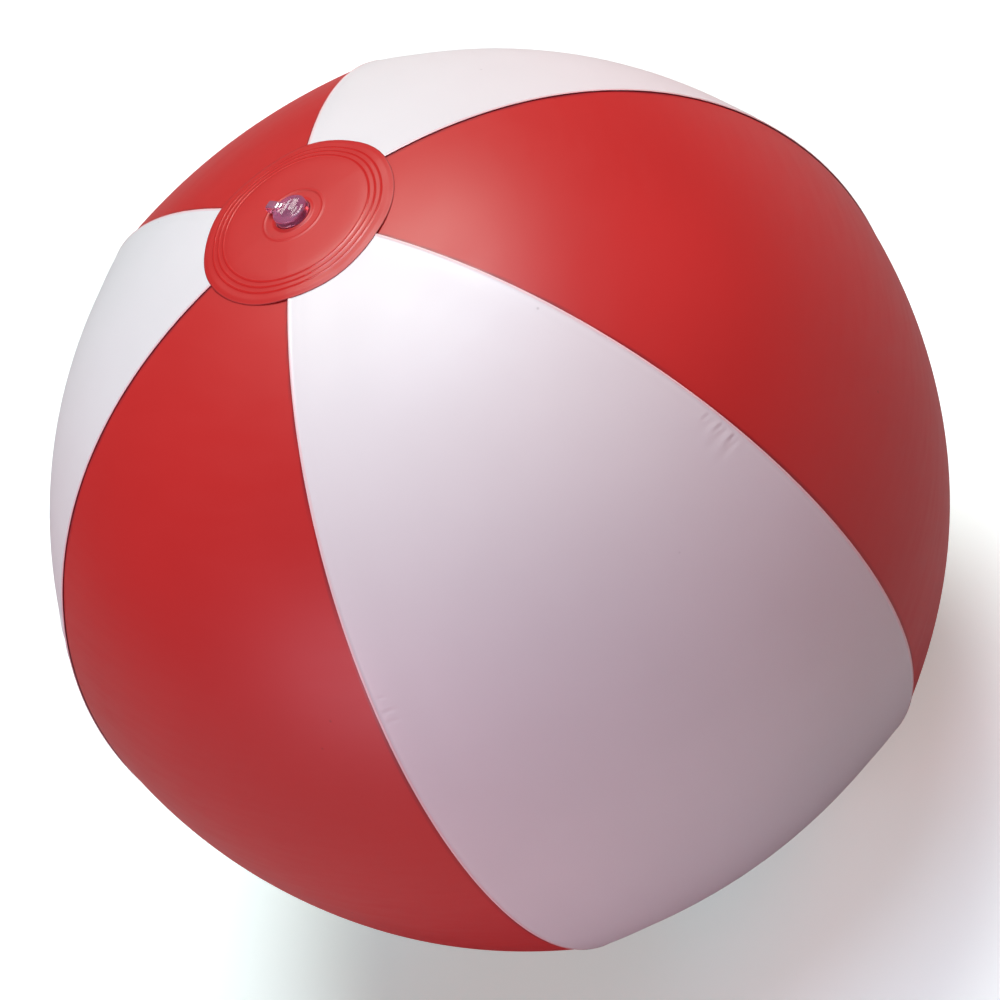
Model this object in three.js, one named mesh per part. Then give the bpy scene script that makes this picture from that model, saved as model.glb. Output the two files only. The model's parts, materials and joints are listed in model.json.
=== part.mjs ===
// Inflatable beach ball: six lapped film gores, a round patch over each pole, and a push-in valve.
// Millimetres. +Z is up along the valve's axis, and the ball stands on its plain patch at z = 0.
import * as THREE from 'three';

// The blown-up shape
const seamRadius = 135; // from the axis to a seam, at the equator
const halfHeight = 126.4; // from the equator to the crown, before the seat is pressed flat
const meridianPower = 2.2; // 2 is an ellipse, and more flattens the poles
const panelFlatness = 0.235; // 0 is a round cross-section, and 1 has flat panels between the seams
const seatDepth = 1.3; // how far the plain pole is pressed flat by what it stands on

// Film, laps and patches
const panelCount = 6;
const film = 0.25;
const weldLap = 4; // how far a red gore reaches under the white one beside it
const layerGap = 0.1; // between two layers of film
const patchRadius = 29.1;
const patchFilm = 0.4;
const patchLap = 9; // how far a patch laps over the gores' tips
const beadInset = 3.4; // from a patch's edge to the outermost bead of its weld
const beadPitch = 1.7;
const beadCount = 3;
const beadHalfWidth = 0.5;
const beadHeight = 0.2;
const beadSink = 0.03; // how far the beads stay under the face of the patch

// Valve
const boreRadius = 3;
const stemWall = 1;
const stemLength = 12.6; // from the underside of the rim to the inner end
const rimLip = 1.2; // how far the rim stands out from the stem
const rimThickness = 1.2;
const rimLift = 0.3; // from the patch's face up to the pushed-in rim
const holeClearance = 1; // between the rim and the hole in the patch
const flangeWidth = 4.4;
const flangeThickness = 0.8;
const flangeBeadInset = 1.6; // from the flange's edge to the bead of its weld
const skirtDrop = 6; // the skirt turns inside out through twice this height
const skirtWall = 0.35;
const mouldGap = 0.3; // left where one moulding is split into the pieces that move
const capInset = 0.5; // from the rim's edge to the plug's cap
const capThickness = 1.1;
const capSeatGap = 0.2;
const shankLength = 4.5;
const shankFit = 0.15;
const tabWidth = 3;
const tabHeight = 0.4;
const strapReach = 1.8; // from the rim's edge to the line about which the strap lets the plug swing
const strapWidth = 2.6;
const strapThickness = 0.7;
const strapLoop = 0.8; // inner radius of the strap's loop
const strapAngle = (2 * Math.PI) / 3; // the side of the valve that the strap hangs on
const flapLap = 0.6; // how far the leaf laps the bore's edge
const flapThickness = 0.5;
const flapGap = 0.15;

// Fineness of the facets
const goreRows = 26;
const goreColumns = 8;
const patchSegments = 48;
const valveSegments = 32;
const loopSteps = 8;
const patchStep = 6; // longest facet along a patch's radius, so that its layers curve together

const redFilm = { color: 0xc92f2b, roughness: 0.38, metalness: 0 };
const whiteFilm = { color: 0xf4f0f2, roughness: 0.4, metalness: 0 };
const clearVinyl = { color: 0xb98fb4, roughness: 0.2, metalness: 0 };

// Layers, as distances outwards from the inner face of the red gores
const whiteInner = film + layerGap;
const patchInner = whiteInner + film + layerGap;
const patchOuter = patchInner + patchFilm;

const halfPanel = Math.PI / panelCount;
const seatHeight = halfHeight - seatDepth; // from the equator down to the seat
const equatorHeight = seatHeight + patchOuter;
const crownHeight = equatorHeight + halfHeight + patchOuter; // the valve patch's outer face
const tipRadius = patchRadius - patchLap;
const stemRadius = boreRadius + stemWall;
const rimRadius = stemRadius + rimLip;
const capRadius = rimRadius - capInset;
const holeRadius = rimRadius + holeClearance;
const flangeRadius = holeRadius + flangeWidth;
const flangeBeadRadius = flangeRadius - flangeBeadInset;
const flapRadius = boreRadius + flapLap;
const hingeReach = rimRadius + strapReach;
const rimBottom = crownHeight + rimLift;
const rimTop = rimBottom + rimThickness;
const capBottom = rimTop + capSeatGap;
const hingeHeight = (rimTop + capBottom) / 2;

function mesh(name, geometry, finish) {
  const made = new THREE.Mesh(geometry, new THREE.MeshStandardMaterial(finish));
  made.name = name;
  return made;
}

// The share of the seam's radius that the ball has in this direction: a panel sinks in between its seams.
function panelShare(angle) {
  const panel = 2 * halfPanel;
  const fromMiddle = angle - (Math.floor(angle / panel) + 0.5) * panel;
  return 1 - panelFlatness + (panelFlatness * Math.cos(halfPanel)) / Math.cos(fromMiddle);
}

// A point of the blown-up film. polar is 0 at the valve's pole and PI at the plain one.
function ballPoint(polar, angle, offset) {
  const across = Math.sin(polar);
  const radial = (meridianPower / seamRadius) * across ** (2 - 2 / meridianPower);
  const axial = (2 / halfHeight) * Math.cos(polar);
  const slope = Math.hypot(radial, axial);
  const seam = seamRadius * across ** (2 / meridianPower);
  const radius = seam * panelShare(angle) + (offset * radial) / slope;
  const height = halfHeight * Math.cos(polar) + (offset * axial) / slope;
  const pressed = Math.max(height, -seatHeight - offset);
  return new THREE.Vector3(
    radius * Math.cos(angle),
    radius * Math.sin(angle),
    equatorHeight + pressed,
  );
}

function polarAt(radius) {
  return Math.asin((radius / seamRadius) ** (meridianPower / 2));
}

function mapped(geometry, place) {
  const position = geometry.attributes.position;
  const vertex = new THREE.Vector3();
  for (let i = 0; i < position.count; i += 1) {
    vertex.fromBufferAttribute(position, i);
    const to = place(vertex);
    position.setXYZ(i, to.x, to.y, to.z);
  }
  geometry.computeVertexNormals();
  return geometry;
}

// One gore: a flat strip of film laid over the ball. Columns run along the laps' edges, so that the
// facets of two lapped gores lie parallel. The under gores reach below the next ones by the lap.
function gore(middle, inner, isUnder) {
  const tip = polarAt(tipRadius);
  const strip = new THREE.BoxGeometry(1, 1, 1, goreColumns, goreRows, 1);
  return mapped(strip, ({ x, y, z }) => {
    const polar = tip + (0.5 - y) * (Math.PI - 2 * tip);
    const lap = weldLap / (seamRadius * Math.sin(polar) ** (2 / meridianPower));
    const edge = isUnder ? halfPanel + lap : halfPanel;
    const column = Math.round((x + 0.5) * goreColumns);
    const inside = edge - lap;
    const within = ((column - 1) / (goreColumns - 2)) * 2 * inside - inside;
    const angle = column === 0 ? -edge : column === goreColumns ? edge : within;
    return ballPoint(polar, middle + angle, inner + (z + 0.5) * film);
  });
}

// A ring turned about +Z from a closed outline of [radius, height] points, anticlockwise.
function turned(outline, segments) {
  const points = outline.map(([radius, height]) => new THREE.Vector2(radius, height));
  return new THREE.LatheGeometry(points, segments).rotateX(Math.PI / 2);
}

function ring(outline, segments) {
  return turned([...outline, outline[0]], segments);
}

// Splits the outline's long edges evenly.
function stepped(outline) {
  return outline.flatMap(([radius, height], i) => {
    const [nextRadius, nextHeight] = outline[(i + 1) % outline.length];
    const steps = Math.max(1, Math.ceil(Math.abs(nextRadius - radius) / patchStep));
    return Array.from({ length: steps }, (_, step) => [
      radius + ((nextRadius - radius) * step) / steps,
      height + ((nextHeight - height) * step) / steps,
    ]);
  });
}

// Lays a ring whose heights are layer offsets over one of the poles. An outline that starts on the
// axis also ends there.
function overPole(outline, atPlainPole) {
  const points = stepped(outline);
  const onAxis = outline[0][0] === 0;
  const geometry = onAxis ? turned(points, patchSegments) : ring(points, patchSegments);
  return mapped(geometry, ({ x, y, z }) => {
    const angle = Math.atan2(y, x);
    const polar = polarAt(Math.hypot(x, y) / panelShare(angle));
    return atPlainPole ? ballPoint(Math.PI - polar, -angle, z) : ballPoint(polar, angle, z);
  });
}

// The patch's weld band: sunk by the beads' height, with the beads standing in it, from the edge inwards.
function weldBand() {
  const floor = patchOuter - beadHeight;
  const outermost = patchRadius - beadInset;
  const innermost = outermost - (beadCount - 1) * beadPitch;
  const band = [[outermost + beadPitch / 2, patchOuter]];
  for (let bead = 0; bead < beadCount; bead += 1) {
    const radius = outermost - bead * beadPitch;
    band.push([radius + beadHalfWidth, floor]);
    band.push([radius, patchOuter - beadSink]);
    band.push([radius - beadHalfWidth, floor]);
  }
  band.push([innermost - beadPitch / 2, patchOuter]);
  return band;
}

function valvePatch() {
  const outline = [
    [holeRadius, patchInner],
    [patchRadius, patchInner],
    [patchRadius, patchOuter],
    ...weldBand(),
    [flangeBeadRadius + beadHalfWidth, patchOuter],
    [flangeBeadRadius, patchOuter + beadHeight],
    [flangeBeadRadius - beadHalfWidth, patchOuter],
    [holeRadius, patchOuter],
  ];
  return overPole(outline, false);
}

function plainPatch() {
  const outline = [
    [0, patchInner],
    [patchRadius, patchInner],
    [patchRadius, patchOuter],
    ...weldBand(),
    [0, patchOuter],
  ];
  return overPole(outline, true);
}

// The valve's flat flange, welded to the inside of its patch.
function valveFlange() {
  const top = patchInner - layerGap;
  const outline = [
    [holeRadius, top - flangeThickness],
    [flangeRadius, top - flangeThickness],
    [flangeRadius, top],
    [holeRadius, top],
  ];
  return overPole(outline, false);
}

// The thin cone between flange and stem, which turns inside out as the stem is pulled.
function valveSkirt() {
  const top = crownHeight - patchFilm - layerGap - mouldGap;
  const bottom = top - skirtDrop;
  const wide = holeRadius - mouldGap;
  const narrow = stemRadius + mouldGap;
  const outline = [
    [narrow, bottom],
    [narrow + skirtWall, bottom],
    [wide, top],
    [wide - skirtWall, top],
  ];
  return ring(outline, valveSegments);
}

function valveStem() {
  const bottom = rimBottom - stemLength;
  const outline = [
    [boreRadius, bottom],
    [stemRadius, bottom],
    [stemRadius, rimBottom],
    [rimRadius, rimBottom],
    [rimRadius, rimTop],
    [boreRadius, rimTop],
  ];
  return ring(outline, valveSegments);
}

// The shank's side is an arc about the swing line, so that it clears the bore's far wall as it swings out.
function plug() {
  const reach = hingeReach + boreRadius - shankFit;
  const steps = 4;
  const outline = [];
  for (let step = steps; step >= 0; step -= 1) {
    const depth = (shankLength * step) / steps;
    outline.push([Math.sqrt(reach ** 2 - depth ** 2) - hingeReach, hingeHeight - depth]);
  }
  const top = capBottom + capThickness;
  const crown = outline[steps][0];
  return turned(
    [
      [0, hingeHeight - shankLength],
      ...outline,
      [crown, capBottom],
      [capRadius, capBottom],
      [capRadius, top],
      [tabWidth / 2, top],
      [tabWidth / 2, top + tabHeight],
      [0, top + tabHeight],
    ],
    valveSegments,
  );
}

// The strap: a loop of flat band about the swing line, from the rim's edge to the plug's.
function plugStrap() {
  const outer = strapLoop + strapThickness;
  const foot = strapReach - mouldGap;
  const section = new THREE.Shape();
  section.moveTo(foot, -outer);
  section.lineTo(foot, -strapLoop);
  section.lineTo(0, -strapLoop);
  section.absarc(0, 0, strapLoop, 1.5 * Math.PI, 0.5 * Math.PI, true);
  section.lineTo(foot, strapLoop);
  section.lineTo(foot, outer);
  section.lineTo(0, outer);
  section.absarc(0, 0, outer, 0.5 * Math.PI, 1.5 * Math.PI, false);
  section.closePath();
  const options = { depth: strapWidth, bevelEnabled: false, curveSegments: loopSteps };
  return new THREE.ExtrudeGeometry(section, options)
    .translate(0, 0, -strapWidth / 2)
    .rotateX(Math.PI / 2)
    .rotateZ(Math.PI + strapAngle)
    .translate(hingeReach * Math.cos(strapAngle), hingeReach * Math.sin(strapAngle), hingeHeight);
}

// The leaf that the ball's own air holds shut against the stem's inner end.
function checkFlap() {
  const top = rimBottom - stemLength - flapGap;
  const outline = [
    [0, top - flapThickness],
    [flapRadius, top - flapThickness],
    [flapRadius, top],
    [0, top],
  ];
  return turned(outline, valveSegments);
}

const ball = new THREE.Group();
for (let panel = 0; panel < panelCount; panel += 1) {
  const isWhite = panel % 2 === 0;
  const middle = (2 * panel + 1) * halfPanel;
  const shape = isWhite ? gore(middle, whiteInner, false) : gore(middle, 0, true);
  const number = Math.floor(panel / 2) + 1;
  const name = isWhite ? `gore_white_${number}` : `gore_red_${number}`;
  ball.add(mesh(name, shape, isWhite ? whiteFilm : redFilm));
}
ball.add(mesh('valve_patch', valvePatch(), redFilm));
ball.add(mesh('plain_patch', plainPatch(), redFilm));
ball.add(mesh('valve_flange', valveFlange(), clearVinyl));
ball.add(mesh('valve_skirt', valveSkirt(), clearVinyl));
ball.add(mesh('valve_stem', valveStem(), clearVinyl));
ball.add(mesh('plug', plug(), clearVinyl));
ball.add(mesh('plug_strap', plugStrap(), clearVinyl));
ball.add(mesh('check_flap', checkFlap(), clearVinyl));

export default ball;
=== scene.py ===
import json

import bmesh
import bpy
import numpy as np
from mathutils import Matrix, Vector


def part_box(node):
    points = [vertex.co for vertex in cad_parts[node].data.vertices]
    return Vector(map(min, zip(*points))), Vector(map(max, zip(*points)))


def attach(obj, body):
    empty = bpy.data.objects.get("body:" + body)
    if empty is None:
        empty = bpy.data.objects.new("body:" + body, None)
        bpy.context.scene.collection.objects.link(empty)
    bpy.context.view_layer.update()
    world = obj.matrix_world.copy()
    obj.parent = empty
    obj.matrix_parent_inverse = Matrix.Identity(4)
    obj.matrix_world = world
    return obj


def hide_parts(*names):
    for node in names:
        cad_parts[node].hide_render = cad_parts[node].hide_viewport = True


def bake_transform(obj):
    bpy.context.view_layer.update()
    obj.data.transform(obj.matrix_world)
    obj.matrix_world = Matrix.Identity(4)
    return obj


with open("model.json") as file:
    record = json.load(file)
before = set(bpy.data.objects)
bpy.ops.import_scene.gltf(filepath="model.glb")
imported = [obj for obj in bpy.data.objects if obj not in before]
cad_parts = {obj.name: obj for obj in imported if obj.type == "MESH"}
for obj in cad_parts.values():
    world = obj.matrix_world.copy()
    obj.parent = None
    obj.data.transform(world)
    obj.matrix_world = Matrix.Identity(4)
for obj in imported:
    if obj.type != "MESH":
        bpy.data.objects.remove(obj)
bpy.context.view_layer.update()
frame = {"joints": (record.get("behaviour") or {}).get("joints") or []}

# ---- Gores -------------------------------------------------------------------------------------------------
# Six strips cut flat with curved sides from satin PVC film, three red and three white. Each white strip laps
# over the red one on either side, a heated bar welds the two, and the tips end under the pole patches. Blown
# up, they make a ball a little flattened at its poles, and pressed flat where it stands on the plain one.
mm = 0.001
film = 0.25 * mm
layer_gap = 0.1 * mm
white_face = 2 * film + layer_gap  # the white film's outer face, over the red film it laps
patch_back = white_face + layer_gap  # the patches lie over both
patch_film = 0.4 * mm
seam_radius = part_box("gore_white_1")[1][0] - white_face
half_height = 126.4 * mm
seat_height = half_height - 1.3 * mm
equator = seat_height + patch_back + patch_film
meridian_power = 2.2
flatness = 0.235
half_panel = np.pi / 6
mean_radius = (seam_radius + half_height) / 2
weld_lap = 4 * mm
lap_fall = 0.5 * weld_lap, 4 * weld_lap  # between these the white film comes down to the red film's level
tip_radius = 20.1 * mm
red = (0.62, 0.029, 0.027)
# The red seam colour is darker: partly the weld's own line on the red film, partly painted shade of the white
# film's lapped edge.
red_seam_line_and_shade = (0.30, 0.022, 0.03)
white = (0.91, 0.90, 0.915)
white_edge_tint_and_highlight = (1.0, 0.74, 0.75)  # pink of the red film through the weld, and a painted highlight along the edge


def step(low, high, x):
    """0 below low, 1 above high, and the smooth cubic 3t^2 - 2t^3 between."""
    t = np.clip((x - low) / (high - low), 0, 1)
    return t * t * (3 - 2 * t)


def bell(x, middle, width):
    """The bell curve exp(-t^2), with t the distance from its middle in widths."""
    return np.exp(-(((x - middle) / width) ** 2))


def seam_distance_angle(angle):
    """The angle from the nearest seam, positive towards the white panel beside it."""
    nearest = np.round(angle / (2 * half_panel))
    return (angle - 2 * half_panel * nearest) * np.where(nearest % 2 == 0, 1, -1)


def panel_share(angle):
    """The share of the seam's radius in a direction: 1 - f + f cos 30 / cos a, with a the angle from the
    panel's middle. The angle e from the seam is taken as the root of e^2 + r^2, which rounds the ridge."""
    ridge = 0.008
    from_seam = np.sqrt(seam_distance_angle(angle) ** 2 + ridge**2)
    return 1 - flatness + flatness * np.cos(half_panel) / np.cos(half_panel - from_seam)


# Puckers are where the film beside a weld has gathered a little, mostly round the ball's shoulder. For each:
# its seam in turns of 60 degrees, angle down from the valve's pole, depth, width and length in mm, and lean.
puckers = [
    (5, 0.994, 0.13, 0.8, 1.4, -0.4),
    (5, 0.996, 0.05, 2.0, 5.0, 0.0),
    (5, 1.029, 0.19, 0.8, 1.6, -0.4),
    (5, 1.031, 0.09, 1.8, 4.5, 0.0),
    (5, 1.063, 0.19, 0.8, 1.7, -0.3),
    (5, 1.065, 0.11, 1.8, 5.5, 0.0),
    (5, 1.093, 0.04, 1.4, 4.0, -0.2),
    (4, 1.052, 0.07, 0.8, 2.0, 0.15),
    (4, 1.084, 0.09, 0.9, 3.0, 0.15),
    (4, 1.108, 0.07, 0.9, 2.8, 0.15),
    (3, 1.085, 0.45, 3.2, 7.0, 0.0),
    (3, 1.150, 0.25, 3.0, 6.0, 0.2),
    (0, 1.270, 0.30, 4.0, 9.0, 0.0),
    (0, 1.360, 0.30, 3.0, 7.0, 0.0),
]
scattered_on = 0, 1, 2, 3
scattered_each = 7
scatter = (0.85, 2.35), (0.08, 0.2), (1.8, 3.0), (3, 6), (-0.7, 0.4)  # ranges from the angle to the lean
chance = np.random.default_rng(16)
for seam in scattered_on:
    for _ in range(scattered_each):
        puckers.append((seam, *[chance.uniform(low, high) for low, high in scatter]))


def film_relief(polar, angle):
    """How far the film stands out from the plain ball. Each pucker is a valley with raised shoulders,
    (2t^2 - 1) exp(-t^2) across it, which starts beside the weld and dies away as a bell curve along it. The
    whole film also swells and sinks by a few tenths of a millimetre in slow waves, except at the poles."""
    starts_at, full_at = 1.5 * mm, 2.8 * mm
    along = polar * mean_radius
    radius = seam_radius * np.sin(polar) ** (2 / meridian_power)
    waves = 0.22 * np.sin(3 * polar + 2 * angle) + 0.16 * np.sin(5 * polar - 4 * angle + 1)
    waves = waves + 0.12 * np.sin(7 * angle + 2 * np.cos(2 * polar))
    relief = waves * mm * np.sin(polar) ** 4
    for seam, down, depth, width, length, lean in puckers:
        turn = (angle - 2 * half_panel * seam + np.pi) % (2 * np.pi) - np.pi
        inward = turn * radius * (1 if seam % 2 == 0 else -1)
        t = (along - down * mean_radius - lean * inward) / (width * mm)
        start = step(starts_at, full_at, inward)
        fade = bell(inward, full_at, length * mm)
        relief = relief + depth * mm * (2 * t * t - 1) * np.exp(-t * t) * start * fade
    return relief


def ball_point(polar, angle, offset):
    """A point of the film: a superellipse of powers 2.2 and 2 turned about Z, its radius scaled by
    panel_share, then moved outwards by offset along the superellipse's own normal. Below, it is pressed flat
    on the seat, with a soft start: the height is (h + s + root((h - s)^2 + r^2)) / 2."""
    across = np.sin(polar)
    radial = meridian_power / seam_radius * across ** (2 - 2 / meridian_power)
    axial = 2 / half_height * np.cos(polar)
    slope = np.hypot(radial, axial)
    radius = seam_radius * across ** (2 / meridian_power) * panel_share(angle) + offset * radial / slope
    height = half_height * np.cos(polar) + offset * axial / slope
    seat = -seat_height - offset
    soft = 0.15 * mm
    height = (height + seat + np.sqrt((height - seat) ** 2 + soft**2)) / 2
    return np.stack([radius * np.cos(angle), radius * np.sin(angle), equator + height], axis=-1)


def polar_at(radius, angle):
    """The angle down from the pole at which the film is this far from the axis."""
    return np.arcsin((radius / panel_share(angle) / seam_radius) ** (meridian_power / 2))


def grid_object(name, points, wrap_rows=False, wrap_columns=False):
    """A mesh over a grid of points (rows, columns, 3): each cell is one face, and a wrapped direction joins
    its last line to its first. Faces point to the side from which rows run up and columns to the right."""
    rows, columns = points.shape[:2]
    index = np.arange(rows * columns).reshape(rows, columns)
    if wrap_rows:
        index = np.vstack([index, index[:1]])
    if wrap_columns:
        index = np.hstack([index, index[:, :1]])
    corners = [index[:-1, :-1], index[:-1, 1:], index[1:, 1:], index[1:, :-1]]
    faces = np.stack(corners, axis=-1).reshape(-1, 4)
    data = bpy.data.meshes.new(name)
    data.from_pydata(points.reshape(-1, 3), [], faces)
    data.polygons.foreach_set("use_smooth", np.ones(len(faces), bool))
    data.update()
    made = bpy.data.objects.new(name, data)
    bpy.context.scene.collection.objects.link(made)
    return made


def add_mask(piece, name, values):
    """Stores one number per point under a name that a material reads."""
    mask = piece.data.attributes.new(name, "FLOAT", "POINT")
    mask.data.foreach_set("value", values.astype(np.float32).ravel())


def gore_shape(middle, is_white):
    """A gore's grid, (points, distance past the seam's line into the white, cut size, flat area). Rows run
    from the plain pole to the valve's, three times closer over the puckered shoulder; columns run across,
    closer at the edges by a sine. White film lies over the lap and comes down to the red film's level beyond
    it, with a bell curve of a bead along its edge and a faint groove where the lap ends."""
    columns, rows_below, rows_shoulder, rows_above = 72, 215, 95, 66
    shoulder_top, shoulder_foot = 0.92, 1.18
    bead_height, bead_place, bead_width = 0.2 * mm, 0.4 * mm, 0.3 * mm
    groove_depth, groove_width = 0.02 * mm, 0.8 * mm
    tip = polar_at(tip_radius, 0.0)
    below = np.linspace(np.pi - tip, shoulder_foot, rows_below)[:-1]
    shoulder = np.linspace(shoulder_foot, shoulder_top, rows_shoulder)[:-1]
    above = np.linspace(shoulder_top, tip, rows_above)
    polar = np.concatenate([below, shoulder, above])[:, None]
    radius = seam_radius * np.sin(polar) ** (2 / meridian_power)
    edge = half_panel + (0 if is_white else weld_lap / radius)
    angle = middle + edge * np.sin(np.linspace(-np.pi / 2, np.pi / 2, columns))[None, :]
    polar = polar + 0 * angle
    beside = seam_distance_angle(angle) * radius
    relief = film_relief(polar, angle)
    bead = bead_height * bell(beside, bead_place, bead_width)
    groove = groove_depth * bell(beside, weld_lap, groove_width)
    rise = white_face - (white_face - film) * step(*lap_fall, beside)
    offset = (rise + bead - groove if is_white else film) + relief
    points = ball_point(polar, angle, offset)
    width = np.linalg.norm(np.diff(points, axis=1), axis=2).sum(axis=1)
    length = np.linalg.norm(np.diff(points[:, columns // 2], axis=0), axis=1)
    flat_area = float(((width[1:] + width[:-1]) / 2 * length).sum())
    return points, beside, (float(width.max()), float(length.sum())), flat_area


def new_material(name):
    """A new material, and its Principled shader."""
    material = bpy.data.materials.new(name)
    material.use_nodes = True
    return material, material.node_tree.nodes["Principled BSDF"]


def feed(tree, value, socket):
    """Gives a node's input a number or a colour, or links another node's output to it."""
    if isinstance(value, bpy.types.NodeSocket):
        tree.links.new(value, socket)
    else:
        socket.default_value = value


def noise(tree, place, scale, detail):
    """The grey value of a cloudy noise."""
    node = tree.nodes.new("ShaderNodeTexNoise")
    feed(tree, place, node.inputs["Vector"])
    feed(tree, scale, node.inputs["Scale"])
    feed(tree, detail, node.inputs["Detail"])
    return node.outputs["Fac"]


def ranged(tree, value, start, end, low=0, high=1):
    """A value carried from the range start to end over to the range low to high, and kept within it."""
    node = tree.nodes.new("ShaderNodeMapRange")
    feed(tree, value, node.inputs["Value"])
    for name, number in (("From Min", start), ("From Max", end), ("To Min", low), ("To Max", high)):
        node.inputs[name].default_value = number
    return node.outputs["Result"]


def scaled_sum(tree, value, scale, added):
    """One value times a number, plus another value."""
    node = tree.nodes.new("ShaderNodeMath")
    node.operation = "MULTIPLY_ADD"
    for socket, given in zip(node.inputs, (value, scale, added)):
        feed(tree, given, socket)
    return node.outputs["Value"]


def mixed(tree, share, first, second, blend="MIX"):
    """Two colours mixed, with the share of the second."""
    node = tree.nodes.new("ShaderNodeMix")
    node.data_type = "RGBA"
    node.blend_type = blend
    feed(tree, share, node.inputs["Factor"])
    feed(tree, first, node.inputs["A"])
    feed(tree, second, node.inputs["B"])
    return node.outputs["Result"]


def stored_mask(tree, name):
    """The number that add_mask stored under this name."""
    node = tree.nodes.new("ShaderNodeAttribute")
    node.attribute_name = name
    return node.outputs["Fac"]


def bumped(tree, height, strength, distance):
    """The normal of a surface in relief."""
    node = tree.nodes.new("ShaderNodeBump")
    node.inputs["Strength"].default_value = strength
    node.inputs["Distance"].default_value = distance
    tree.links.new(height, node.inputs["Height"])
    return node.outputs["Normal"]


def film_grain_group():
    """The look of calendered film: slow mottling, specks of dust at the middles of some cells, scuffs in the
    gloss as noise that is stretched one way, and a fine grain in relief."""
    group = bpy.data.node_groups.new("film grain", "ShaderNodeTree")
    for name in ("Grain count", "Roughness"):
        group.interface.new_socket(name, in_out="INPUT", socket_type="NodeSocketFloat")
    for name in ("Mottle", "Speck", "Roughness", "Height"):
        group.interface.new_socket(name, in_out="OUTPUT", socket_type="NodeSocketFloat")
    given = group.nodes.new("NodeGroupInput").outputs
    result = group.nodes.new("NodeGroupOutput").inputs
    place = group.nodes.new("ShaderNodeTexCoord").outputs["Object"]

    mottle = noise(group, place, scale=14, detail=3)
    feed(group, ranged(group, mottle, 0.3, 0.7, low=0.965, high=1.02), result["Mottle"])

    stretch = group.nodes.new("ShaderNodeMapping")
    stretch.inputs["Scale"].default_value = (60, 60, 420)
    stretch.inputs["Rotation"].default_value = (0.4, 0.7, 0.2)
    feed(group, place, stretch.inputs["Vector"])
    scuff = noise(group, stretch.outputs["Vector"], scale=1, detail=5)
    worn = ranged(group, scuff, 0.35, 0.75, low=-0.015, high=0.035)
    feed(group, scaled_sum(group, worn, 1, given["Roughness"]), result["Roughness"])

    feed(group, noise(group, place, given["Grain count"], detail=2), result["Height"])

    cells = group.nodes.new("ShaderNodeTexVoronoi")
    cells.inputs["Scale"].default_value = 55
    feed(group, place, cells.inputs["Vector"])
    feed(group, ranged(group, cells.outputs["Distance"], 0.01, 0.03, low=1, high=0), result["Speck"])
    return group


film_grain = film_grain_group()


def grain_outputs(tree, roughness, count):
    """The film grain's outputs for a mean roughness and a count of fine grains to the metre."""
    grain = tree.nodes.new("ShaderNodeGroup")
    grain.node_tree = film_grain
    grain.inputs["Roughness"].default_value = roughness
    grain.inputs["Grain count"].default_value = count
    return grain.outputs


def film_material(name, colour, line_colour):
    """Satin PVC film. The mask 'line' says where the seam's line is, in the line colour: partly the weld's own
    colour, with painted shade on red film and a painted highlight on white film. 'weld' says where a weld has
    glazed it.
    """
    material, shader = new_material(name)
    tree = material.node_tree
    dust_shade, weld_gloss = -0.22, -0.2
    grain = grain_outputs(tree, roughness=0.43, count=1400)
    tint = mixed(tree, stored_mask(tree, "line"), (*colour, 1), (*line_colour, 1))
    dusty = scaled_sum(tree, grain["Speck"], dust_shade, grain["Mottle"])
    feed(tree, mixed(tree, 1, tint, dusty, "MULTIPLY"), shader.inputs["Base Color"])
    gloss = scaled_sum(tree, stored_mask(tree, "weld"), weld_gloss, grain["Roughness"])
    feed(tree, gloss, shader.inputs["Roughness"])
    normal = bumped(tree, grain["Height"], strength=0.12, distance=0.05 * mm)
    feed(tree, normal, shader.inputs["Normal"])
    shader.inputs["IOR"].default_value = 1.53
    return material


red_vinyl = film_material("red film", red, red_seam_line_and_shade)
white_vinyl = film_material("white film", white, white_edge_tint_and_highlight)

# Distances past a seam into the white panel. Between them its line and its weld's glaze start on the red film,
# and end on the white film.
red_line = -0.9 * mm, -0.3 * mm
white_line = 0.55 * mm, 0.9 * mm
red_weld = -0.5 * mm, 0
white_weld = weld_lap - 0.3 * mm, weld_lap + 0.3 * mm
lap_glaze = 0.3  # how much of a full glaze the lap has beyond the line
for panel in range(6):
    is_white = panel % 2 == 0
    node = f"gore_{'white' if is_white else 'red'}_{panel // 2 + 1}"
    points, beside, cut_size, flat_area = gore_shape((2 * panel + 1) * half_panel, is_white)
    piece = grid_object(f"film_{node}", points)
    if is_white:
        # On white film the line is pink: red film seen through the weld, and a painted highlight along the
        # edge.
        line = 1 - step(*white_line, beside)
        weld = lap_glaze * (1 - step(*white_weld, beside)) + (1 - lap_glaze) * line
    else:
        # On red film the line is darker: partly the weld's own line, partly painted shade of the white film's
        # lapped edge.
        line = step(*red_line, beside)
        weld = step(*red_weld, beside)
    add_mask(piece, "line", line)
    add_mask(piece, "weld", weld)
    wall = piece.modifiers.new("film", "SOLIDIFY")
    wall.thickness = film
    wall.offset = -1
    piece.data.materials.append(white_vinyl if is_white else red_vinyl)
    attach(piece, "ball")
    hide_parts(node)

# ---- Pole patches ------------------------------------------------------------------------------------------
# A round disc of heavier red film over each pole covers the gores' tips, welded on by three fine beads near
# its edge. The valve's has a hole with a turned-up lip, and a bead where the valve's flange is welded behind.
patch_radius = 29.1 * mm
edge_film = 0.18 * mm  # what the weld leaves of the patch's thickness at its edge
weld_bead_height = 0.13 * mm
weld_bead_width = 0.26 * mm
weld_beads = patch_radius - np.array([3.4, 5.1, 6.8]) * mm
lip_radius = 5.4 * mm  # the film's soft lip reaches in over the hole
lip_height = 0.4 * mm
flange_bead = 9 * mm
flange_bead_height = 0.17 * mm
flange_bead_width = 0.35 * mm
sunk_share = 0.3  # how deep the band round the beads is sunk, in bead heights
thin_edge = 1.6 * mm  # how far in the weld has thinned the edge
sag = 0.1 * mm
sag_slope = 8 * mm


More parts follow.
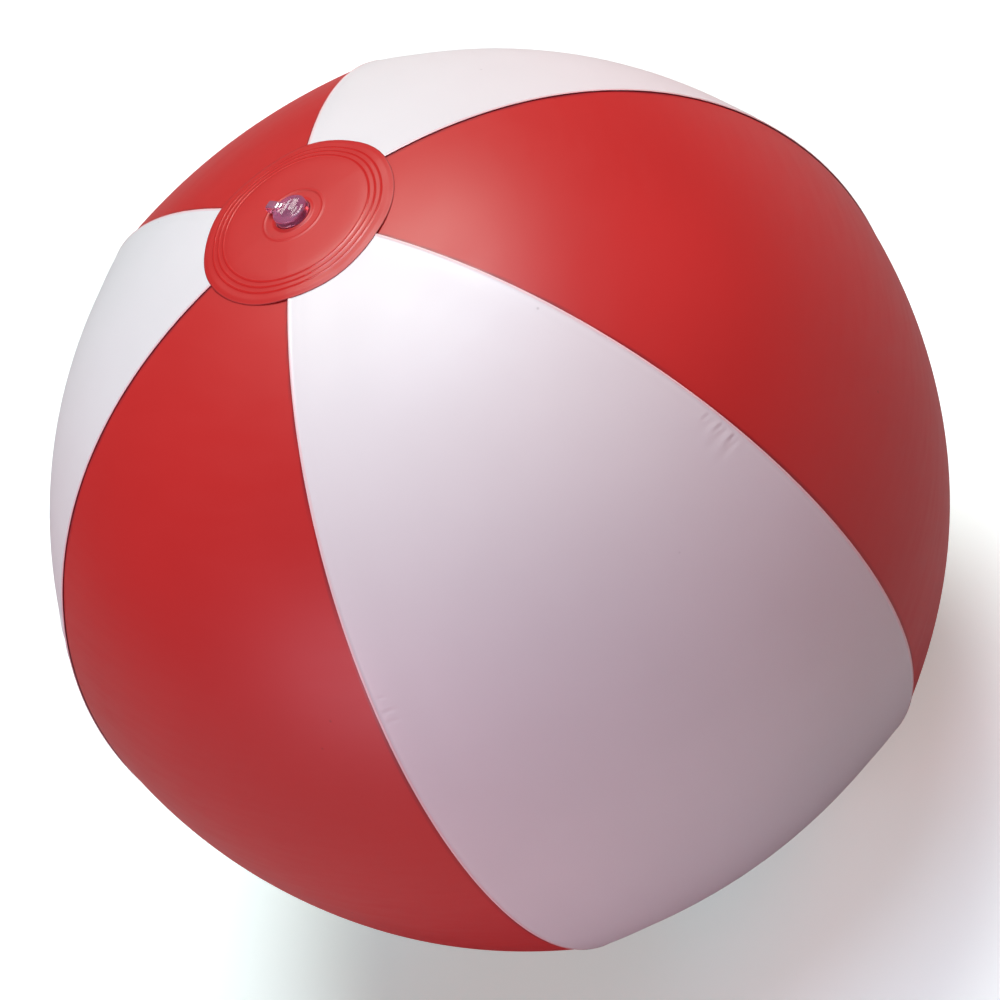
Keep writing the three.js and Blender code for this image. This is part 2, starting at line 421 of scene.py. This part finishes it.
def patch_relief(radius, has_valve):
    """The patch's face over its plain level: three beads, each a bell curve, in a band that is sunk a little,
    and an edge that the weld has thinned. Inside the gores' tips the valve's patch sags, as no film lies
    behind it; it has one more bead over the flange, and its lip stands up round the hole."""
    near, far = 0.3 * mm, 1.8 * mm  # the band's sides slope between these distances from the beads
    band = step(weld_beads[2] - far, weld_beads[2] - near, radius)
    band = band * (1 - step(weld_beads[0] + near, weld_beads[0] + far, radius))
    beads = sum(bell(radius, at, weld_bead_width) for at in weld_beads)
    relief = weld_bead_height * (beads - sunk_share * band)
    relief = relief - (patch_film - edge_film) * step(patch_radius - thin_edge, patch_radius, radius)
    if has_valve:
        relief = relief - sag * (1 - step(tip_radius - sag_slope, tip_radius, radius))
        relief = relief + flange_bead_height * bell(radius, flange_bead, flange_bead_width)
        relief = relief + lip_height * (1 - step(lip_radius + 0.1 * mm, lip_radius + 1.1 * mm, radius))
    return relief


def drape(radius, angle):
    """How far the patch's rim sinks to lie on the gores: down to the red film beside each seam, and to the
    white film that falls away past its lap."""
    reach, seam_edge, gap = 12 * mm, 0.2 * mm, 0.04 * mm
    beside = seam_distance_angle(angle) * radius
    rise = step(-reach, -seam_edge, beside) * (1 - step(*lap_fall, beside))
    under = film + (white_face - film) * rise + gap
    return (patch_back - under) * step(patch_radius - 10 * mm, patch_radius - 1.5 * mm, radius)


def close_ends(piece):
    """Fills the small round openings that a grid leaves round its poles."""
    mesh = bmesh.new()
    mesh.from_mesh(piece.data)
    bmesh.ops.holes_fill(mesh, edges=[edge for edge in mesh.edges if edge.is_boundary])
    mesh.to_mesh(piece.data)
    mesh.free()


def patch_object(name, has_valve):
    """A patch's mesh and masks. The back runs out from the hole, or the pole, to the half-round edge, and the
    face runs in again; on the plain pole the turn is reversed, so that the faces still point out."""
    face_rows, back_rows, edge_rows, columns = 190, 60, 9, 289
    rim_shade, bead_glaze = 0.7, 1.6
    inner = lip_radius if has_valve else 0.3 * mm
    face = np.linspace(patch_radius, inner, face_rows)
    back = np.linspace(inner, patch_radius, back_rows)
    nose = np.linspace(0, np.pi, edge_rows)[1:-1]
    edge_radius = patch_radius + 0.5 * edge_film * np.sin(nose)
    edge_level = 0.5 * edge_film * (1 - np.cos(nose))
    radius = np.concatenate([back, edge_radius, face])[:, None]
    level = np.concatenate([0 * back, edge_level, patch_film + patch_relief(face, has_valve)])[:, None]
    turn = np.linspace(0, 2 * np.pi, columns)[None, :-1]
    if has_valve:
        polar = polar_at(radius, turn)
    else:
        turn = -turn
        polar = np.pi - polar_at(radius, turn)
    polar, turn, level = np.broadcast_arrays(polar, turn, level)
    points = ball_point(polar, turn, patch_back - drape(radius, turn) + level)
    piece = grid_object(name, points, wrap_rows=has_valve, wrap_columns=True)
    if not has_valve:
        close_ends(piece)
    # The rim line darkens the patch's outer 0.3 mm with the seam colour: painted shade along its edge.
    rim = rim_shade * step(patch_radius - 0.3 * mm, patch_radius, radius) + 0 * turn
    pressed = bead_glaze * sum(bell(radius, at, 1.3 * weld_bead_width) for at in weld_beads)
    add_mask(piece, "line", rim)
    add_mask(piece, "weld", pressed + 0 * turn)
    return piece


for node, has_valve in (("valve_patch", True), ("plain_patch", False)):
    piece = patch_object(f"film_{node}", has_valve)
    piece.data.materials.append(red_vinyl)
    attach(piece, "ball")
    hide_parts(node)

# ---- Valve -------------------------------------------------------------------------------------------------
# One soft clear moulding with a violet tint: a flange welded behind the patch, a thin skirt that turns inside
# out, the stem with its rim, the plug on its strap, and the leaf that shuts the stem's inner end on its web.
valve_tint = (0.66, 0.14, 0.36)
valve_tint_thin = (0.95, 0.46, 0.66)
stem_low, stem_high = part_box("valve_stem")
rim_top = stem_high[2]
rim_radius = stem_high[0]
stem_bottom = stem_low[2]
bore_radius = 3 * mm
stem_radius = 4 * mm
rim_bottom = rim_top - 1.9 * mm
corner_steps = 5  # points on each rounded corner


def rounded(outline, radius):
    """A closed outline with each corner cut off by a curve: the quadratic whose control point is the corner,
    from one radius before it to one radius after it. Short sides limit the radius."""
    corners = np.array(outline, float)
    before = np.roll(corners, 1, axis=0) - corners
    after = np.roll(corners, -1, axis=0) - corners
    reach_before = np.linalg.norm(before, axis=1, keepdims=True)
    reach_after = np.linalg.norm(after, axis=1, keepdims=True)
    cut = np.minimum(radius, 0.45 * np.minimum(reach_before, reach_after))
    start = corners + before / reach_before * cut
    end = corners + after / reach_after * cut
    t = np.linspace(0, 1, corner_steps)[None, :, None]
    curve = (1 - t) ** 2 * start[:, None] + 2 * t * (1 - t) * corners[:, None] + t**2 * end[:, None]
    return curve.reshape(-1, 2)


def turned_object(name, outline, radius, hollow=True):
    """A closed outline of (radius, height) points, rounded at its corners and turned about Z. A piece that
    isn't hollow has its first and last points near the axis; the side between them is left out and filled."""
    profile = rounded(outline, radius)
    columns = 73
    turn = np.linspace(0, 2 * np.pi, columns)[:-1][None, :]
    out, up = profile[:, :1], profile[:, 1:]
    points = np.stack([out * np.cos(turn), out * np.sin(turn), up + 0 * turn], axis=-1)
    if not hollow:
        points = points[corner_steps - 1 : 1 - corner_steps]
    made = grid_object(name, points[::-1], wrap_rows=hollow, wrap_columns=True)
    if not hollow:
        close_ends(made)
    return made


def clear_vinyl():
    """Clear soft PVC: it lets most light through, with faint flow marks from the mould in tint and relief."""
    material, shader = new_material("clear vinyl")
    tree = material.node_tree
    place = tree.nodes.new("ShaderNodeTexCoord").outputs["Object"]
    flow = noise(tree, place, scale=220, detail=0)
    tint = mixed(tree, flow, (*valve_tint, 1), (*valve_tint_thin, 1))
    feed(tree, tint, shader.inputs["Base Color"])
    grain = grain_outputs(tree, roughness=0.07, count=900)
    feed(tree, grain["Roughness"], shader.inputs["Roughness"])
    feed(tree, bumped(tree, flow, strength=0.3, distance=0.06 * mm), shader.inputs["Normal"])
    shader.inputs["Transmission Weight"].default_value = 0.65
    shader.inputs["Alpha"].default_value = 0.85
    shader.inputs["IOR"].default_value = 1.54
    return material


vinyl = clear_vinyl()


def valve_piece(piece, body=None, node=None):
    """Gives a piece of the moulding its material, and its body and the node it replaces, if any."""
    piece.data.materials.append(vinyl)
    if body:
        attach(piece, body)
    if node:
        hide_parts(node)


flange_low, flange_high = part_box("valve_flange")
flange_radius = flange_high[0]
flange_top = flange_low[2] + 0.8 * mm
flange = turned_object(
    "moulded_valve_flange",
    [
        (lip_radius, flange_low[2]),
        (flange_radius, flange_low[2]),
        (flange_radius, flange_top - 0.1 * mm),
        (flange_radius - 2 * mm, flange_top + 0.05 * mm),
        (lip_radius, flange_top),
    ],
    0.25 * mm,
)
valve_piece(flange, "ball", "valve_flange")

skirt_low, skirt_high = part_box("valve_skirt")
skirt = turned_object(
    "moulded_valve_skirt",
    [
        (stem_radius + 0.06 * mm, skirt_low[2]),
        (stem_radius + 0.5 * mm, skirt_low[2]),
        (lip_radius - 0.08 * mm, skirt_high[2] - 0.5 * mm),
        (lip_radius - 0.08 * mm, skirt_high[2]),
        (lip_radius - 0.55 * mm, skirt_high[2]),
    ],
    0.2 * mm,
)
valve_piece(skirt, node="valve_skirt")
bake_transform(skirt)

stem = turned_object(
    "moulded_valve_stem",
    [
        (bore_radius, stem_bottom),
        (stem_radius, stem_bottom),
        (stem_radius, rim_bottom - 0.5 * mm),
        (stem_radius + 0.5 * mm, rim_bottom),
        (rim_radius, rim_bottom),
        (rim_radius + 0.05 * mm, rim_top - 0.9 * mm),
        (rim_radius - 0.7 * mm, rim_top),
        (bore_radius + 0.1 * mm, rim_top),
        (bore_radius, rim_top - 0.3 * mm),
    ],
    0.3 * mm,
)
valve_piece(stem, "valve_stem", "valve_stem")

# The plug: a solid shank under a domed cap, with a bar across the cap to pull it by. The shank's side is an
# arc about the strap's fold, so that it swings clear of the bore.
swing = next(joint for joint in frame["joints"] if joint["name"] == "plug_swing")
fold = np.array(swing["pos_m"])
fold_reach = np.hypot(fold[0], fold[1])
toward_fold = fold[:2] / fold_reach
along_bar = np.array([toward_fold[1], -toward_fold[0]])
cap_bottom = rim_top + 0.2 * mm
cap_top = cap_bottom + 1.1 * mm
cap_edge = rim_radius - 0.1 * mm
dome_width = 1.4 * mm
shank_length = 4.5 * mm
shank_fit = 0.15 * mm
# What stands on the cap, the pull bar first. For each: its place towards the strap, the middle of its length,
# how far it falls on the side away from the strap, half its length, and its height, in mm.
cap_folds = [
    (-0.3, 1.2, 1.6, 2.3, 0.5),
    (1.5, 0.2, 0.7, 2.6, 0.24),
    (2.7, -0.4, 0.7, 1.9, 0.2),
    (-2.5, -0.6, 0.8, 1.7, 0.24),
]
bar_edge = 0.3 * mm  # width of each one's bell curve, on the side towards the strap
grip_height = 0.015 * mm
grip_pitch = 0.95 * mm


def plug_shape():
    """Rows run out over the shank's end and up its side, up the cap's side, a quarter ellipse, and in over
    its top, a shallow dish; columns turn about Z. On top stand the pull bar and three low folds, each half a
    bell curve on the strap's side and an even slope on the other, with fine grip lines over them."""
    reach = fold_reach + bore_radius - shank_fit
    depth = np.linspace(shank_length, 0, 12)
    shank = np.stack([np.sqrt(reach**2 - depth**2) - fold_reach, fold[2] - depth], axis=1)
    start = shank[0, 0]
    foot_radius = np.linspace(0.2 * mm, start - 0.5 * mm, 8)
    foot = np.stack([foot_radius, np.full_like(foot_radius, fold[2] - shank_length)], axis=1)
    turn = np.linspace(0, np.pi / 2, 17)
    flat_radius = cap_edge - dome_width
    dome_foot = cap_bottom + 0.18 * mm
    lower = np.array([[cap_edge - 0.12 * mm, cap_bottom], [cap_edge - 0.02 * mm, cap_bottom + 0.06 * mm]])
    dome = [flat_radius + dome_width * np.cos(turn), dome_foot + (cap_top - dome_foot) * np.sin(turn)]
    side = np.concatenate([lower, np.stack(dome, axis=1)])
    top_radius = np.linspace(cap_edge - 1.03 * dome_width, 0.2 * mm, 60)
    dish = 0.2 * mm * (1 - (top_radius / flat_radius) ** 2)
    top = np.stack([top_radius, cap_top - dish], axis=1)
    profile = np.concatenate([foot, shank[1:], side, top])
    angle = np.linspace(0, 2 * np.pi, 145)[None, :-1]
    out, up = profile[:, :1], profile[:, 1:] + 0 * angle
    x, y = out * np.cos(angle), out * np.sin(angle)
    across = x * toward_fold[0] + y * toward_fold[1]
    along = x * along_bar[0] + y * along_bar[1]
    edge = 1 - step(3.2 * mm, 3.9 * mm, np.hypot(x, y))
    raised = grip_height * np.sin(2 * np.pi * across / grip_pitch) * edge
    for place, middle, fall, half_length, height in cap_folds:
        slope = np.clip(1 - (place * mm - across) / (fall * mm), 0, 1)
        section = np.where(across > place * mm, bell(across, place * mm, bar_edge), slope)
        ends = np.exp(-(((along - middle * mm) / (half_length * mm)) ** 8))
        raised = raised + height * mm * section * ends
    on_top = step(cap_bottom + 0.5 * mm, cap_top - 0.1 * mm, up)
    return np.stack([x, y, up + raised * on_top], axis=-1)


plug = grid_object("moulded_plug", plug_shape(), wrap_columns=True)
close_ends(plug)
valve_piece(plug, "plug", "plug")

# The strap: a flat band of the same moulding that leaves the rim, folds back over itself, and runs into the
# cap over two slight ripples.
strap_width = 2.6 * mm
strap_thickness = 0.7 * mm
strap_bend = 1.15 * mm  # radius of the fold at the band's middle


def band_shape(path, width, thickness):
    """A flat band carried along a path of (reach, height) points. Its section is a superellipse of power 4,
    and both ends close in a half round as the section shrinks by the root of 1 - t^2."""
    path = np.array(path)
    ahead = np.gradient(path, axis=0)
    ahead = ahead / np.linalg.norm(ahead, axis=1, keepdims=True)
    side = np.stack([-ahead[:, 1], ahead[:, 0]], axis=1)
    run = np.concatenate([[0], np.cumsum(np.linalg.norm(np.diff(path, axis=0), axis=1))])
    from_end = np.minimum(run, run[-1] - run) / (0.6 * width)
    shrink = np.sqrt(1 - (1 - np.clip(from_end, 0.02, 1)) ** 2)
    turn = np.linspace(0, 2 * np.pi, 29)[:-1]
    flat = np.sign(np.cos(turn)) * np.abs(np.cos(turn)) ** 0.5 * width / 2
    tall = np.sign(np.sin(turn)) * np.abs(np.sin(turn)) ** 0.5 * thickness / 2
    reach = path[:, :1] + side[:, :1] * tall
    height = path[:, 1:] + side[:, 1:] * tall
    sideways = shrink[:, None] * flat
    x = reach * toward_fold[0] + sideways * along_bar[0]
    y = reach * toward_fold[1] + sideways * along_bar[1]
    return np.stack([x, y, height], axis=-1)


strap_start, strap_end = 4.7 * mm, 2.3 * mm
run_out = np.linspace(strap_start, fold_reach, 14)
bend = np.linspace(-np.pi / 2, np.pi / 2, 25)[1:-1]
run_in = np.linspace(fold_reach, strap_end, 40)
ripple = 0.12 * mm * bell(run_in, 4.3 * mm, 0.5 * mm) + 0.14 * mm * bell(run_in, 2.9 * mm, 0.4 * mm)
lower = np.stack([run_out, np.full_like(run_out, fold[2] - strap_bend)], axis=1)
curve = np.stack([fold_reach + strap_bend * np.cos(bend), fold[2] + strap_bend * np.sin(bend)], axis=1)
upper = np.stack([run_in, fold[2] + strap_bend + ripple], axis=1)
strap = grid_object(
    "moulded_plug_strap",
    band_shape(np.concatenate([lower, curve, upper]), strap_width, strap_thickness),
    wrap_columns=True,
)
close_ends(strap)
valve_piece(strap, node="plug_strap")
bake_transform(strap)

# The leaf: a soft disc joined to the stem's inner end at one side, which the ball's own air holds shut.
leaf_low, leaf_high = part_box("check_flap")
leaf_radius = leaf_high[0]
leaf = turned_object(
    "moulded_check_flap",
    [
        (0.2 * mm, leaf_low[2] + 0.05 * mm),
        (leaf_radius, leaf_low[2]),
        (leaf_radius, leaf_high[2]),
        (0.2 * mm, leaf_high[2]),
    ],
    0.15 * mm,
    hollow=False,
)
valve_piece(leaf, "check_flap", "check_flap")

# The leaf's hinge: a thin web that joins the leaf's edge to the end of the stem's wall, under the strap.
leaf_hinge = next(joint for joint in frame["joints"] if joint["name"] == "check_flap_hinge")
hinge_place = np.array(leaf_hinge["pos_m"])
web_reach = np.hypot(hinge_place[0], hinge_place[1]) - 0.1 * mm
web_width, web_thickness = 1.8 * mm, 0.4 * mm
web_height = np.linspace(stem_bottom + 0.8 * mm, leaf_low[2] + 0.1 * mm, 16)
web_path = np.stack([np.full_like(web_height, web_reach), web_height], axis=1)
web = grid_object("moulded_leaf_hinge", band_shape(web_path, web_width, web_thickness), wrap_columns=True)
close_ends(web)
valve_piece(web)
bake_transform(web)

# ---- Floor, light and camera -------------------------------------------------------------------------------
# A pale floor, two round softboxes behind and above, and two tinted reflectors lower down. The floor and the
# room look white to the eye, but light the ball less than white ones would.


def seen_and_given(tree, seen, given, socket):
    """Feeds a socket one colour where the eye meets the surface, and another where it lights other things."""
    path = tree.nodes.new("ShaderNodeLightPath")
    feed(tree, mixed(tree, path.outputs["Is Camera Ray"], (*given, 1), seen), socket)


def floor_material():
    """Pale paint with a glow that only the eye sees, which grows to white away from the ball."""
    material, shader = new_material("floor paint")
    tree = material.node_tree
    glow_starts, glow_full = 0.8, 2.5
    place = tree.nodes.new("ShaderNodeTexCoord").outputs["Object"]
    from_ball = tree.nodes.new("ShaderNodeVectorMath")
    from_ball.operation = "LENGTH"
    feed(tree, place, from_ball.inputs[0])
    beyond = ranged(tree, from_ball.outputs["Value"], glow_starts, glow_full)
    glow = mixed(tree, beyond, (0.25, 0.36, 0.34, 1), (1, 1, 1, 1))
    seen_and_given(tree, (0.98, 0.98, 0.98, 1), (0.4, 0.4, 0.4), shader.inputs["Base Color"])
    seen_and_given(tree, glow, (0, 0, 0), shader.inputs["Emission Color"])
    shader.inputs["Emission Strength"].default_value = 1
    shader.inputs["Roughness"].default_value = 1
    shader.inputs["Specular IOR Level"].default_value = 0
    return material


floor_size = 14.0
corners = np.array([[[-1, -1, 0], [1, -1, 0]], [[-1, 1, 0], [1, 1, 0]]]) * floor_size / 2
floor = grid_object("floor", corners)
floor.data.materials.append(floor_material())

middle = Vector((0, 0, equator))
light_distance = 4.0
# Each light's name, turn and rise in degrees, size in metres, and the light that a white face gets from it.
for name, turn, rise, size, strength in (
    ("softbox behind", 60, 65, 2.4, (0.60, 0.65, 0.58)),
    ("softbox overhead", 0, 78, 2.4, (0.315, 0.38, 0.455)),
    ("mauve reflector", 212, 12, 2.8, (0.52, 0.31, 0.385)),
    ("rose reflector", 0, 24, 2.4, (0.26, 0.02, 0.02)),
):
    turn, rise = np.radians([turn, rise])
    toward = Vector((np.cos(rise) * np.cos(turn), np.cos(rise) * np.sin(turn), np.sin(rise)))
    box = bpy.data.lights.new(name, "AREA")
    box.shape = "DISK"
    box.size = size
    box.energy = (np.pi * light_distance) ** 2 * max(strength)
    box.color = [part / max(strength) for part in strength]
    lamp = bpy.data.objects.new(name, box)
    lamp.location = middle + light_distance * toward
    lamp.rotation_euler = (-toward).to_track_quat("-Z", "Y").to_euler()
    bpy.context.scene.collection.objects.link(lamp)

world = bpy.data.worlds.new("studio")
world.use_nodes = True
bpy.context.scene.world = world
backdrop = world.node_tree.nodes["Background"]
seen_and_given(world.node_tree, (1, 1, 1, 1), (0.03, 0.02, 0.025), backdrop.inputs["Color"])

azimuth, elevation, lean = np.radians([-0.39, 41.97, -36.3])
back = Vector((np.sin(azimuth) * np.cos(elevation), -np.cos(azimuth) * np.cos(elevation), np.sin(elevation)))
level_right = Vector((np.cos(azimuth), np.sin(azimuth), 0))
level_up = back.cross(level_right)
right = np.cos(lean) * level_right + np.sin(lean) * level_up
up = back.cross(right)
camera_data = bpy.data.cameras.new("camera")
camera_data.lens = 126.5
camera_data.sensor_width = 36
camera_data.shift_x = -0.00077
camera_data.shift_y = -0.00287
camera = bpy.data.objects.new("camera", camera_data)
camera_distance = 7.66 * seam_radius
place = middle + camera_distance * back
turned = Matrix((right, up, back)).transposed().to_4x4()
camera.matrix_world = Matrix.Translation(place) @ turned
bpy.context.scene.collection.objects.link(camera)
bpy.context.scene.camera = camera
bpy.context.scene.view_settings.view_transform = "Standard"
